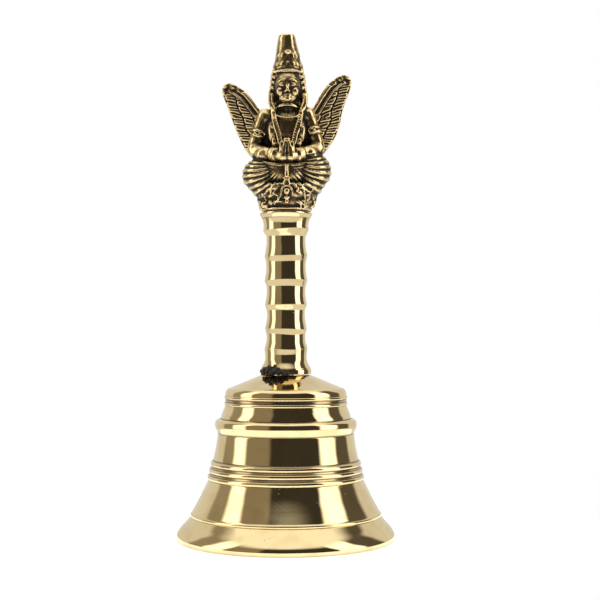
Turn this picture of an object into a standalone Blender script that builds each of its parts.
"""Brass puja bell: a turned cup, a ribbed grip, a winged figure and the parts that hang the clapper.

Metres, +Z up. The origin is on the bell's axis, in the plane of the lip that the bell stands on.
The figure faces -Y, and +X is on its left hand side.
"""

import math

import bmesh
import bpy
from mathutils import Matrix, Vector

# Clearances
FIT_GAP = 0.0003  # between two pieces that touch or screw together
TURN_GAP = 0.0003  # round the eye's shank, which turns in the nut's floor
CUT_BEYOND = 0.001  # how far a cutter runs past the face that it opens
LOOP_SLACK = 0.0004  # how much wider the loop's hole is than the eye's wire, in radius
LOOP_DROP = 0.00025  # how far the loop's middle hangs below the middle of the eye's wire

# Cup, from the lip up
LIP_RADIUS = 0.03575
LIP_ROUND = 0.0014  # height of the lip's widest line, and how far its foot draws in
LIP_FACE = 0.0024  # width of the flat ring that the bell stands on
LIP_HEIGHT = 0.0082  # to the middle of the lower bead
BEAD_RADIUS = 0.0308
BEAD_PROUD = 0.0003
BEAD_HEIGHT = 0.0010
FLARE_HEIGHT = 0.0119  # from the lower bead to the first ridge
RIDGE_RADIUS = 0.0251
RIDGE_PITCH = 0.0022
RIDGE_COUNT = 3
WAIST_HEIGHT = 0.0086
WAIST_RADIUS = 0.0221
WAIST_FOOT_RADIUS = 0.0237
COLLAR_PROUD = 0.00105
COLLAR_HEIGHT = 0.0047
DRUM_HEIGHT = 0.0094
DRUM_FOOT_RADIUS = 0.0212
DRUM_RADIUS = 0.0198
SHOULDER_ROUND = 0.0010
SHOULDER_HEIGHT = 0.0048
SEAT_RADIUS = 0.0080  # flat land under the grip's foot
LIP_WALL = 0.0040
CUP_WALL = 0.0028
CROWN_THICKNESS = 0.0043
CUP_SIDES = 44

# Grip: from the foot up, each ring's height above the one below, its crest and the neck under it
FOOT_CREST = 0.0018
FOOT_RADIUS = 0.0083
GRIP_RINGS = (
    (0.0064, 0.00705, 0.0068),
    (0.0066, 0.0068, 0.00635),
    (0.0079, 0.00685, 0.0062),
    (0.0078, 0.0070, 0.00635),
    (0.0080, 0.0070, 0.0065),
    (0.0086, 0.00745, 0.0064),
)
RING_FACET = 0.0020  # height of the facet that looks down under each crest
GRIP_TOP_HEIGHT = 0.0056  # from the last crest to the top face
GRIP_TOP_RADIUS = 0.0087
GRIP_TOP_NECK = 0.00735
GRIP_SIDES = 32
SOCKET_DEPTH = 0.0140
FIGURE_SOCKET_DEPTH = 0.0090

# Fastenings
TIE_RADIUS = 0.0025
TIE_END = 0.0028  # how much of the tie stud the nut takes
FIGURE_STUD_RADIUS = 0.0020
WASHER_RADIUS = 0.0066
WASHER_THICKNESS = 0.0010
NUT_ACROSS_FLATS = 0.0092
NUT_FLOOR = 0.0016

# Clapper
HEAD_RADIUS = 0.0021
HEAD_THICKNESS = 0.0010
SHANK_RADIUS = 0.0012
EYE_RADIUS = 0.0033  # to the middle of the eye's wire
EYE_WIRE = 0.0011
LOOP_WIRE = 0.0010
ROD_RADIUS = 0.0016
TENON_RADIUS = 0.0012
RIVET_RADIUS = 0.0022
RIVET_THICKNESS = 0.0008
BALL_RADIUS = 0.0076
CLAPPER_LIFT = 0.0021  # foot of the rivet above the lip's plane

# Figure, from its base up
BASE_HEIGHT = 0.0070
BASE_TOP_RADIUS = 0.0112
LAP_RISE = 0.0058  # middle of the lap and knees above the top of the base
LAP_RADII = (0.0098, 0.0088, 0.0064)
KNEE_REACH = 0.0078
KNEE_RADII = (0.0070, 0.0076, 0.0066)
TORSO_RISE = 0.0204  # shoulders above the knees
TORSO_HALF_WIDTH = 0.0078
TORSO_HALF_DEPTH = 0.0056
SHOULDER_REACH = 0.0072
SHOULDER_RADIUS = 0.0031
YOKE_RADII = (0.0092, 0.0046, 0.0032)  # the flesh that joins the shoulders, neck and wings
ELBOW_REACH = 0.0098
ELBOW_DROP = 0.0140  # below the shoulders
ELBOW_RADIUS = 0.0029
ARM_RADIUS = 0.0027
WRIST_RADIUS = 0.0016
HAND_FORWARD = 0.0082
HAND_RADII = (0.0027, 0.0024, 0.0039)
NECK_RADIUS = 0.0033
HEAD_RISE = 0.0080  # middle of the head above the shoulders
HEAD_RADII = (0.0054, 0.0056, 0.0062)
HEAD_FORWARD = 0.0012
HAIR_FOOT_RADIUS = 0.0068
HAIR_TOP_RADIUS = 0.0056
HAIR_BACK = 0.0014  # middle of the hair behind the axis
CROWN_HEIGHT = 0.0172  # above the middle of the head
CROWN_FOOT_RADIUS = 0.0057
CROWN_TOP_RADIUS = 0.0027
WING_THICKNESS = 0.0024
WING_BACK = 0.0031  # middle of the wing plates behind the axis

# Wing outlines about the top of the shoulders: x outwards, z up. The casting isn't symmetrical.
RIGHT_HAND_WING = (
    (0.0030, 0.0000), (0.0084, 0.0016), (0.0113, 0.0049), (0.0136, 0.0075), (0.0163, 0.0096),
    (0.0190, 0.0104), (0.0210, 0.0100), (0.0216, 0.0085), (0.0211, 0.0052), (0.0198, 0.0009),
    (0.0168, -0.0066), (0.0136, -0.0130), (0.0110, -0.0150), (0.0040, -0.0100),
)
LEFT_HAND_WING = (
    (0.0030, 0.0000), (0.0087, 0.0016), (0.0103, 0.0049), (0.0123, 0.0075), (0.0149, 0.0104),
    (0.0175, 0.0124), (0.0198, 0.0132), (0.0215, 0.0121), (0.0218, 0.0101), (0.0208, 0.0068),
    (0.0192, 0.0035), (0.0185, -0.0007), (0.0156, -0.0073), (0.0120, -0.0140), (0.0040, -0.0100),
)

# Black lac squeezed out from under the foot, as angles seen from above, in degrees from +X
LAC_RADIUS = 0.0009
LAC_START = -150.0
LAC_END = -84.0

# Heights that follow from the sizes above
RIDGE_FOOT = LIP_HEIGHT + FLARE_HEIGHT
WAIST_FOOT = RIDGE_FOOT + (RIDGE_COUNT - 0.5) * RIDGE_PITCH
COLLAR_FOOT = WAIST_FOOT + WAIST_HEIGHT
DRUM_FOOT = COLLAR_FOOT + COLLAR_HEIGHT
SHOULDER_FOOT = DRUM_FOOT + DRUM_HEIGHT
CROWN_SEAT = SHOULDER_FOOT + SHOULDER_HEIGHT
CEILING = CROWN_SEAT - CROWN_THICKNESS
GRIP_FOOT = CROWN_SEAT + FIT_GAP
GRIP_TOP = GRIP_FOOT + FOOT_CREST + sum(ring[0] for ring in GRIP_RINGS) + GRIP_TOP_HEIGHT
FIGURE_FOOT = GRIP_TOP + FIT_GAP
TIE_BORE = TIE_RADIUS + FIT_GAP
FIGURE_BORE = FIGURE_STUD_RADIUS + FIT_GAP
WASHER_TOP = CEILING - FIT_GAP
NUT_TOP = WASHER_TOP - WASHER_THICKNESS - FIT_GAP
TIE_FOOT = NUT_TOP - TIE_END
EYE_TOP = TIE_FOOT - FIT_GAP  # top of the eye's head
NUT_FLOOR_TOP = EYE_TOP - HEAD_THICKNESS - FIT_GAP
NUT_FOOT = NUT_FLOOR_TOP - NUT_FLOOR
EYE_MIDDLE = NUT_FOOT - FIT_GAP - EYE_WIRE - EYE_RADIUS
PIVOT = EYE_MIDDLE - EYE_RADIUS  # the clapper swings about the lowest part of the eye's wire
LOOP_RADIUS = EYE_WIRE + LOOP_WIRE + LOOP_SLACK  # to the middle of the loop's wire
LOOP_MIDDLE = PIVOT - LOOP_DROP
BALL_BORE = TENON_RADIUS + FIT_GAP
BALL_FLAT = math.sqrt(BALL_RADIUS**2 - BALL_BORE**2)  # middle of the ball to the edge of its bore
RIVET_TOP = CLAPPER_LIFT + RIVET_THICKNESS
BALL_MIDDLE = RIVET_TOP + FIT_GAP + BALL_FLAT

BRASS = ("polished_brass", (0.76, 0.57, 0.27), 0.15, 1.0)
OLD_BRASS = ("antique_brass", (0.42, 0.30, 0.14), 0.35, 1.0)
STEEL = ("steel", (0.42, 0.41, 0.39), 0.40, 1.0)
LAC = ("black_lac", (0.02, 0.018, 0.016), 0.70, 0.0)


def clear_scene():
    for obj in list(bpy.data.objects):
        bpy.data.objects.remove(obj, do_unlink=True)


def new_collection(name):
    collection = bpy.data.collections.new(name)
    bpy.context.scene.collection.children.link(collection)
    return collection


def material(name, colour, roughness, metallic):
    found = bpy.data.materials.get(name)
    if found:
        return found
    made = bpy.data.materials.new(name)
    made.use_nodes = True
    shader = made.node_tree.nodes["Principled BSDF"]
    shader.inputs["Base Color"].default_value = (*colour, 1.0)
    shader.inputs["Roughness"].default_value = roughness
    shader.inputs["Metallic"].default_value = metallic
    made.diffuse_color = (*colour, 1.0)
    return made


def add_object(name, data, collection, finish):
    obj = bpy.data.objects.new(name, data)
    collection.objects.link(obj)
    if finish:
        data.materials.append(material(*finish))
    return obj


def hide_helper(obj):
    obj.hide_render = True
    obj.display_type = "WIRE"
    return obj


def turned(name, outline, sides, collection, finish, closed=True):
    """A piece turned on the Z axis from points (radius, height) that run down its outer side."""
    mesh = bpy.data.meshes.new(name)
    points = [(radius, 0.0, height) for radius, height in outline]
    edges = [(i, i + 1) for i in range(len(points) - 1)]
    if closed:
        edges.append((len(points) - 1, 0))
    mesh.from_pydata(points, edges, [])
    obj = add_object(name, mesh, collection, finish)
    screw = obj.modifiers.new("turn", "SCREW")
    screw.axis = "Z"
    screw.angle = 2 * math.pi
    screw.steps = sides
    screw.render_steps = sides
    screw.use_merge_vertices = True
    screw.merge_threshold = 0.00001
    screw.use_smooth_shade = True
    return obj


def primitive(name, collection, finish, make, **sizes):
    """An object whose mesh comes from one of bmesh's primitive operators."""
    shape = bmesh.new()
    make(shape, **sizes)
    mesh = bpy.data.meshes.new(name)
    shape.to_mesh(mesh)
    shape.free()
    return add_object(name, mesh, collection, finish)


def ellipsoid(name, collection, middle, radii, segments=20, rings=12):
    scale = Matrix.Diagonal((*radii, 1.0))
    return primitive(
        name, collection, None, bmesh.ops.create_uvsphere, u_segments=segments,
        v_segments=rings, radius=1.0, matrix=Matrix.Translation(middle) @ scale,
    )


def limb(name, collection, start, end, start_radius, end_radius, segments=12):
    """A tapered round bar from start to end, for an arm or a neck."""
    start, end = Vector(start), Vector(end)
    along = end - start
    turn = along.to_track_quat("Z", "Y").to_matrix().to_4x4()
    return primitive(
        name, collection, None, bmesh.ops.create_cone, cap_ends=True, segments=segments,
        radius1=start_radius, radius2=end_radius, depth=along.length,
        matrix=Matrix.Translation((start + end) / 2) @ turn,
    )


def meshed(curve_object):
    """The curve object made a mesh with welded caps, so that a Boolean can use it."""
    bpy.context.view_layer.update()
    graph = bpy.context.evaluated_depsgraph_get()
    mesh = bpy.data.meshes.new_from_object(curve_object.evaluated_get(graph))
    shape = bmesh.new()
    shape.from_mesh(mesh)
    bmesh.ops.remove_doubles(shape, verts=shape.verts, dist=0.00001)
    bmesh.ops.recalc_face_normals(shape, faces=shape.faces)
    shape.to_mesh(mesh)
    shape.free()
    name, home = curve_object.name, curve_object.users_collection[0]
    place = curve_object.matrix_world.copy()
    bpy.data.objects.remove(curve_object, do_unlink=True)
    made = add_object(name, mesh, home, None)
    made.matrix_world = place
    return made


def plate(name, collection, outline, thickness, middle_y):
    """A flat plate in the XZ plane with a smooth outline, made from a filled 2D curve."""
    curve = bpy.data.curves.new(name, "CURVE")
    curve.dimensions = "2D"
    curve.fill_mode = "BOTH"
    curve.extrude = thickness / 2
    spline = curve.splines.new("POLY")
    spline.points.add(len(outline) - 1)
    for point, (x, z) in zip(spline.points, outline):
        point.co = (x, z, 0.0, 1.0)
    spline.use_cyclic_u = True
    obj = add_object(name, curve, collection, None)
    obj.matrix_world = Matrix.Translation((0.0, middle_y, 0.0)) @ Matrix.Rotation(math.pi / 2, 4, "X")
    return meshed(obj)


def join(obj, helpers, operation):
    for helper in helpers:
        hide_helper(helper)
        boolean = obj.modifiers.new(helper.name, "BOOLEAN")
        boolean.operation = operation
        boolean.solver = "EXACT"
        boolean.object = helper
    return obj


def mix(a, b, share):
    return a + (b - a) * share


def bead(radius, height, tall, proud):
    """Three points of a half-round bead, from its top edge to its lower edge."""
    return [(radius, height + tall / 2), (radius + proud, height), (radius, height - tall / 2)]


def cup_outside():
    """The cup's outer side, from the crown's seat down to the lip's foot."""
    drum_beads = (SHOULDER_FOOT - 0.0024, SHOULDER_FOOT - 0.0045)
    points = [(SEAT_RADIUS, CROWN_SEAT)]
    points.append((DRUM_RADIUS - 1.2 * SHOULDER_ROUND, SHOULDER_FOOT + 0.4 * SHOULDER_ROUND))
    points.append((DRUM_RADIUS - 0.4 * SHOULDER_ROUND, SHOULDER_FOOT - 0.1 * SHOULDER_ROUND))
    points.append((DRUM_RADIUS, SHOULDER_FOOT - SHOULDER_ROUND))
    for height in drum_beads:
        points += bead(DRUM_RADIUS, height, BEAD_HEIGHT, BEAD_PROUD)
    points.append((mix(DRUM_RADIUS, DRUM_FOOT_RADIUS, 0.45), mix(drum_beads[1], DRUM_FOOT, 0.35)))
    points.append((DRUM_FOOT_RADIUS, mix(drum_beads[1], DRUM_FOOT, 0.60)))
    points.append((DRUM_FOOT_RADIUS, DRUM_FOOT))
    collar = WAIST_RADIUS + COLLAR_PROUD
    points.append((collar - COLLAR_PROUD * 0.6, DRUM_FOOT - 0.0001))
    points.append((collar, DRUM_FOOT - 0.22 * COLLAR_HEIGHT))
    points.append((collar, DRUM_FOOT - 0.55 * COLLAR_HEIGHT))
    points.append((WAIST_RADIUS, COLLAR_FOOT))
    points.append((mix(WAIST_RADIUS, WAIST_FOOT_RADIUS, 0.42), mix(COLLAR_FOOT, WAIST_FOOT, 0.5)))
    for index in reversed(range(RIDGE_COUNT)):
        radius = mix(RIDGE_RADIUS, WAIST_FOOT_RADIUS, index / RIDGE_COUNT)
        points += bead(radius, RIDGE_FOOT + index * RIDGE_PITCH, RIDGE_PITCH * 0.6, BEAD_PROUD)
    for share in (0.33, 0.66):
        points.append((mix(RIDGE_RADIUS, BEAD_RADIUS, share) - 0.0001, mix(RIDGE_FOOT, LIP_HEIGHT, share)))
    points += bead(BEAD_RADIUS, LIP_HEIGHT, BEAD_HEIGHT, BEAD_PROUD)
    points.append((mix(BEAD_RADIUS, LIP_RADIUS, 0.82), mix(LIP_HEIGHT, LIP_ROUND, 0.70)))
    points.append((LIP_RADIUS, LIP_ROUND))
    points.append((LIP_RADIUS - 0.3 * LIP_ROUND, 0.35 * LIP_ROUND))
    points.append((LIP_RADIUS - LIP_ROUND, 0.0))
    return points


def cup_inside():
    """The cup's inner side, from the lip's foot up to the ceiling."""
    foot = LIP_RADIUS - LIP_ROUND - LIP_FACE
    corner = DRUM_RADIUS - CUP_WALL
    flare_radius = mix(RIDGE_RADIUS, BEAD_RADIUS, 0.5) - mix(CUP_WALL, LIP_WALL, 0.5)
    return [
        (foot, 0.0),
        (foot - 0.0010, 0.0012),
        (BEAD_RADIUS - LIP_WALL, LIP_HEIGHT),
        (flare_radius, mix(RIDGE_FOOT, LIP_HEIGHT, 0.5)),
        (RIDGE_RADIUS - CUP_WALL, RIDGE_FOOT),
        (WAIST_FOOT_RADIUS - CUP_WALL, WAIST_FOOT),
        (WAIST_RADIUS - CUP_WALL, COLLAR_FOOT),
        (corner, mix(DRUM_FOOT, CEILING, 0.45)),
        (corner - 0.0012, mix(DRUM_FOOT, CEILING, 0.75)),
        (mix(WASHER_RADIUS, corner, 0.55), CEILING - 0.0008),
        (WASHER_RADIUS + 0.0015, CEILING),
    ]


def make_cup(parts):
    outline = [(TIE_BORE, CROWN_SEAT), *cup_outside(), *cup_inside(), (TIE_BORE, CEILING)]
    return turned("bell_cup", outline, CUP_SIDES, parts, BRASS)


def grip_outside():
    """The grip's outer side, from its top face down to its foot."""
    crest = GRIP_FOOT + FOOT_CREST
    crests = [(crest, FOOT_RADIUS - 0.0002, FOOT_RADIUS)]
    for rise, crest_radius, neck_radius in GRIP_RINGS:
        crest += rise
        crests.append((crest, crest_radius, neck_radius))
    points = [(GRIP_TOP_RADIUS, GRIP_TOP), (GRIP_TOP_RADIUS - 0.0001, GRIP_TOP - 0.0007)]
    points.append((mix(GRIP_TOP_NECK, GRIP_TOP_RADIUS, 0.30), GRIP_TOP - 0.0021))
    points.append((GRIP_TOP_NECK, mix(crest, GRIP_TOP, 0.25)))
    for (height, crest_radius, neck_radius), lower in zip(reversed(crests), reversed(crests[:-1])):
        gap = height - RING_FACET - lower[0]
        points.append((crest_radius, height))
        points.append((neck_radius, height - RING_FACET))
        points.append((mix(neck_radius, lower[1], 0.12), lower[0] + 0.45 * gap))
    points.append((crests[0][1], crests[0][0]))
    points.append((FOOT_RADIUS, GRIP_FOOT))
    return points


def make_grip(parts):
    """The ribbed grip, with a blind socket at each end for the studs."""
    top_floor = GRIP_TOP - FIGURE_SOCKET_DEPTH
    foot_floor = GRIP_FOOT + SOCKET_DEPTH
    outline = [(0.0, top_floor), (FIGURE_BORE, top_floor), (FIGURE_BORE, GRIP_TOP)]
    outline += grip_outside()
    outline += [(TIE_BORE, GRIP_FOOT), (TIE_BORE, foot_floor), (0.0, foot_floor)]
    return turned("handle_grip", outline, GRIP_SIDES, parts, BRASS, closed=False)


def rod(name, radius, top, foot, parts, finish, sides=20):
    """A plain stud, with a small chamfer at both ends."""
    chamfer = radius * 0.2
    outline = [(0.0, top), (radius - chamfer, top), (radius, top - chamfer)]
    outline += [(radius, foot + chamfer), (radius - chamfer, foot), (0.0, foot)]
    return turned(name, outline, sides, parts, finish, closed=False)


def make_studs(parts):
    rod("tie_stud", TIE_RADIUS, GRIP_FOOT + SOCKET_DEPTH - FIT_GAP, TIE_FOOT, parts, STEEL)
    foot = GRIP_TOP - FIGURE_SOCKET_DEPTH + FIT_GAP
    top = FIGURE_FOOT + FIGURE_SOCKET_DEPTH - FIT_GAP
    rod("figure_stud", FIGURE_STUD_RADIUS, top, foot, parts, STEEL)


def make_washer(parts):
    low = WASHER_TOP - WASHER_THICKNESS
    outline = [(TIE_BORE, WASHER_TOP), (WASHER_RADIUS, WASHER_TOP), (WASHER_RADIUS, low), (TIE_BORE, low)]
    turned("crown_washer", outline, 28, parts, STEEL)


def make_nut(parts, cutters):
    """A hexagonal nut on the tie stud, whose floor the eye's shank turns in."""
    height = NUT_TOP - NUT_FOOT
    nut = primitive(
        "hanger_nut", parts, BRASS, bmesh.ops.create_cone, cap_ends=True, segments=6,
        radius1=NUT_ACROSS_FLATS / math.sqrt(3), radius2=NUT_ACROSS_FLATS / math.sqrt(3),
        depth=height, matrix=Matrix.Translation((0, 0, NUT_FOOT + height / 2)),
    )
    shank_bore = SHANK_RADIUS + TURN_GAP
    above, below = NUT_TOP + CUT_BEYOND, NUT_FOOT - CUT_BEYOND
    bore = [(0.0, above), (TIE_BORE, above), (TIE_BORE, NUT_FLOOR_TOP)]
    bore += [(shank_bore, NUT_FLOOR_TOP), (shank_bore, below), (0.0, below)]
    cutter = turned("nut_bore", bore, 24, cutters, None, closed=False)
    join(nut, [cutter], "DIFFERENCE")


def ring(name, collection, major, minor, middle, axis, finish=None):
    """A torus about the given axis, from a circle of wire spun round it."""
    shape = bmesh.new()
    around = Matrix.Rotation(math.pi / 2, 4, "X")
    wire = bmesh.ops.create_circle(
        shape, segments=12, radius=minor, matrix=Matrix.Translation((major, 0, 0)) @ around
    )
    geometry = wire["verts"] + shape.edges[:]
    bmesh.ops.spin(
        shape, geom=geometry, cent=(0, 0, 0), axis=(0, 0, 1), angle=2 * math.pi,
        steps=28, use_merge=True,
    )
    bmesh.ops.recalc_face_normals(shape, faces=shape.faces)
    mesh = bpy.data.meshes.new(name)
    shape.to_mesh(mesh)
    shape.free()
    obj = add_object(name, mesh, collection, finish)
    turn = Vector(axis).to_track_quat("Z", "Y").to_matrix().to_4x4()
    obj.matrix_world = Matrix.Translation(middle) @ turn
    return obj


def make_eye(parts, cutters):
    """The eye: a ring in the XZ plane under a headed shank."""
    turn_axis = bpy.data.objects.new("eye_axis", None)
    parts.objects.link(turn_axis)
    turn_axis.location = (0, 0, EYE_MIDDLE)
    head_foot = EYE_TOP - HEAD_THICKNESS
    outline = [(0.0, EYE_TOP), (HEAD_RADIUS * 0.8, EYE_TOP), (HEAD_RADIUS, EYE_TOP - HEAD_THICKNESS * 0.3)]
    outline += [(HEAD_RADIUS, head_foot), (SHANK_RADIUS, head_foot)]
    outline += [(SHANK_RADIUS, EYE_MIDDLE + EYE_RADIUS), (0.0, EYE_MIDDLE + EYE_RADIUS)]
    shank = turned("swivel_eye", outline, 20, parts, STEEL, closed=False)
    shank.data.transform(Matrix.Translation((0, 0, -EYE_MIDDLE)))
    shank.parent = turn_axis
    eye = ring("eye_ring", cutters, EYE_RADIUS, EYE_WIRE, (0, 0, EYE_MIDDLE), (0, 1, 0))
    join(shank, [eye], "UNION")


def make_clapper(parts, cutters):
    """The rod with its closed loop, and the ball riveted on its tenon. Both hang from the pivot."""
    swing_axis = bpy.data.objects.new("clapper_pivot", None)
    parts.objects.link(swing_axis)
    swing_axis.location = (0, 0, PIVOT)
    rod_top = LOOP_MIDDLE - LOOP_RADIUS
    rod_neck = rod_top - 0.6 * LOOP_WIRE
    shoulder = BALL_MIDDLE + BALL_FLAT + FIT_GAP
    outline = [(0.0, rod_top), (ROD_RADIUS, rod_neck), (ROD_RADIUS, shoulder)]
    outline += [(TENON_RADIUS, shoulder), (TENON_RADIUS, RIVET_TOP), (RIVET_RADIUS, RIVET_TOP)]
    outline += [(RIVET_RADIUS * 0.7, CLAPPER_LIFT), (0.0, CLAPPER_LIFT)]
    rod_piece = turned("clapper_rod", outline, 20, parts, STEEL, closed=False)
    loop = ring("rod_loop", cutters, LOOP_RADIUS, LOOP_WIRE, (0, 0, LOOP_MIDDLE), (1, 0, 0))
    join(rod_piece, [loop], "UNION")

    steps = 14
    edge = math.asin(BALL_BORE / BALL_RADIUS)  # angle of the bore's edge from the ball's pole
    angles = [mix(edge, math.pi - edge, index / steps) for index in range(steps + 1)]
    ball_outline = [
        (BALL_RADIUS * math.sin(angle), BALL_MIDDLE + BALL_RADIUS * math.cos(angle)) for angle in angles
    ]
    ball = turned("clapper_ball", ball_outline, 28, parts, BRASS)
    for piece in (rod_piece, ball):
        piece.data.transform(Matrix.Translation((0, 0, -PIVOT)))
        piece.parent = swing_axis


def make_foot_seal(parts):
    """A bead of black lac in the corner between the grip's foot and the crown's slope."""
    curve = bpy.data.curves.new("foot_seal", "CURVE")
    curve.dimensions = "3D"
    curve.bevel_depth = LAC_RADIUS
    curve.bevel_resolution = 1
    curve.use_fill_caps = True
    slope = SHOULDER_HEIGHT / (DRUM_RADIUS - 1.2 * SHOULDER_ROUND - SEAT_RADIUS)
    radius = FOOT_RADIUS + FIT_GAP + LAC_RADIUS
    rest = (LAC_RADIUS + FIT_GAP) * math.hypot(1, slope)
    height = CROWN_SEAT - slope * max(radius - SEAT_RADIUS, 0) + rest
    count = 9
    spline = curve.splines.new("POLY")
    spline.points.add(count - 1)
    for index, point in enumerate(spline.points):
        angle = math.radians(mix(LAC_START, LAC_END, index / (count - 1)))
        point.co = (radius * math.cos(angle), radius * math.sin(angle), height, 1.0)
    add_object("foot_seal", curve, parts, LAC)


def make_figure(parts, cutters):
    """The winged figure as one casting: a base, crossed legs, body, arms, head, crown and wings."""
    seat = bpy.data.objects.new("figure_seat", None)
    parts.objects.link(seat)
    seat.location = (0, 0, FIGURE_FOOT)
    lap = BASE_HEIGHT + LAP_RISE
    shoulders = lap + TORSO_RISE
    head = shoulders + HEAD_RISE
    elbow = shoulders - ELBOW_DROP
    torso = mix(lap, shoulders, 0.60)
    torso_radii = (TORSO_HALF_WIDTH, TORSO_HALF_DEPTH, shoulders - torso + SHOULDER_RADIUS / 2)

    block = [(0.0, lap), (BASE_TOP_RADIUS * 0.9, lap), (BASE_TOP_RADIUS, BASE_HEIGHT)]
    block += [(GRIP_TOP_RADIUS, 0.0), (0.0, 0.0)]
    figure = turned("winged_figure", block, 28, parts, OLD_BRASS, closed=False)
    hair_foot = (0, HAIR_BACK, shoulders - SHOULDER_RADIUS / 3)
    hair_top = (0, HAIR_BACK, head + HEAD_RADII[2] * 0.6)
    crown_foot = (0, 0, head + HEAD_RADII[2] * 0.2)
    crown_top = (0, 0, head + CROWN_HEIGHT)
    pieces = [
        ellipsoid("lap", cutters, (0, 0, lap), LAP_RADII),
        ellipsoid("torso", cutters, (0, 0, torso), torso_radii),
        ellipsoid("yoke", cutters, (0, WING_BACK / 2, shoulders - SHOULDER_RADIUS / 2), YOKE_RADII),
        limb("neck", cutters, (0, 0, shoulders - SHOULDER_RADIUS), (0, 0, head), NECK_RADIUS, NECK_RADIUS),
        ellipsoid("head", cutters, (0, -HEAD_FORWARD, head), HEAD_RADII),
        limb("hair", cutters, hair_foot, hair_top, HAIR_FOOT_RADIUS, HAIR_TOP_RADIUS, 16),
        limb("crown", cutters, crown_foot, crown_top, CROWN_FOOT_RADIUS, CROWN_TOP_RADIUS, 20),
        ellipsoid("hands", cutters, (0, -HAND_FORWARD, elbow), HAND_RADII),
    ]
    for side, label, outline in ((-1, "right", RIGHT_HAND_WING), (1, "left", LEFT_HAND_WING)):
        shoulder = (side * SHOULDER_REACH, 0, shoulders - SHOULDER_RADIUS / 2)
        bend = (side * ELBOW_REACH, -WRIST_RADIUS, elbow)
        wrist = (side * WRIST_RADIUS, -HAND_FORWARD, elbow)
        knee = (side * KNEE_REACH, -WRIST_RADIUS, lap)
        pieces += [
            ellipsoid(f"{label}_knee", cutters, knee, KNEE_RADII),
            ellipsoid(f"{label}_shoulder", cutters, shoulder, (SHOULDER_RADIUS,) * 3, 14, 8),
            limb(f"{label}_upper_arm", cutters, shoulder, bend, ARM_RADIUS, ARM_RADIUS),
            ellipsoid(f"{label}_elbow", cutters, bend, (ELBOW_RADIUS,) * 3, 14, 8),
            limb(f"{label}_forearm", cutters, bend, wrist, ARM_RADIUS, WRIST_RADIUS),
        ]
        placed = [(side * x, shoulders + z) for x, z in outline]
        pieces.append(plate(f"{label}_wing", cutters, placed, WING_THICKNESS, WING_BACK))
    bore_outline = [(0.0, FIGURE_SOCKET_DEPTH), (FIGURE_BORE, FIGURE_SOCKET_DEPTH)]
    bore_outline += [(FIGURE_BORE, -CUT_BEYOND), (0.0, -CUT_BEYOND)]
    bore = turned("figure_bore", bore_outline, 20, cutters, None, closed=False)
    join(figure, pieces, "UNION")
    join(figure, [bore], "DIFFERENCE")
    for piece in (figure, bore, *pieces):
        piece.parent = seat


def main():
    clear_scene()
    parts = new_collection("puja_bell")
    cutters = new_collection("puja_bell_cutters")
    make_cup(parts)
    make_grip(parts)
    make_studs(parts)
    make_washer(parts)
    make_nut(parts, cutters)
    make_eye(parts, cutters)
    make_clapper(parts, cutters)
    make_foot_seal(parts)
    make_figure(parts, cutters)


main()
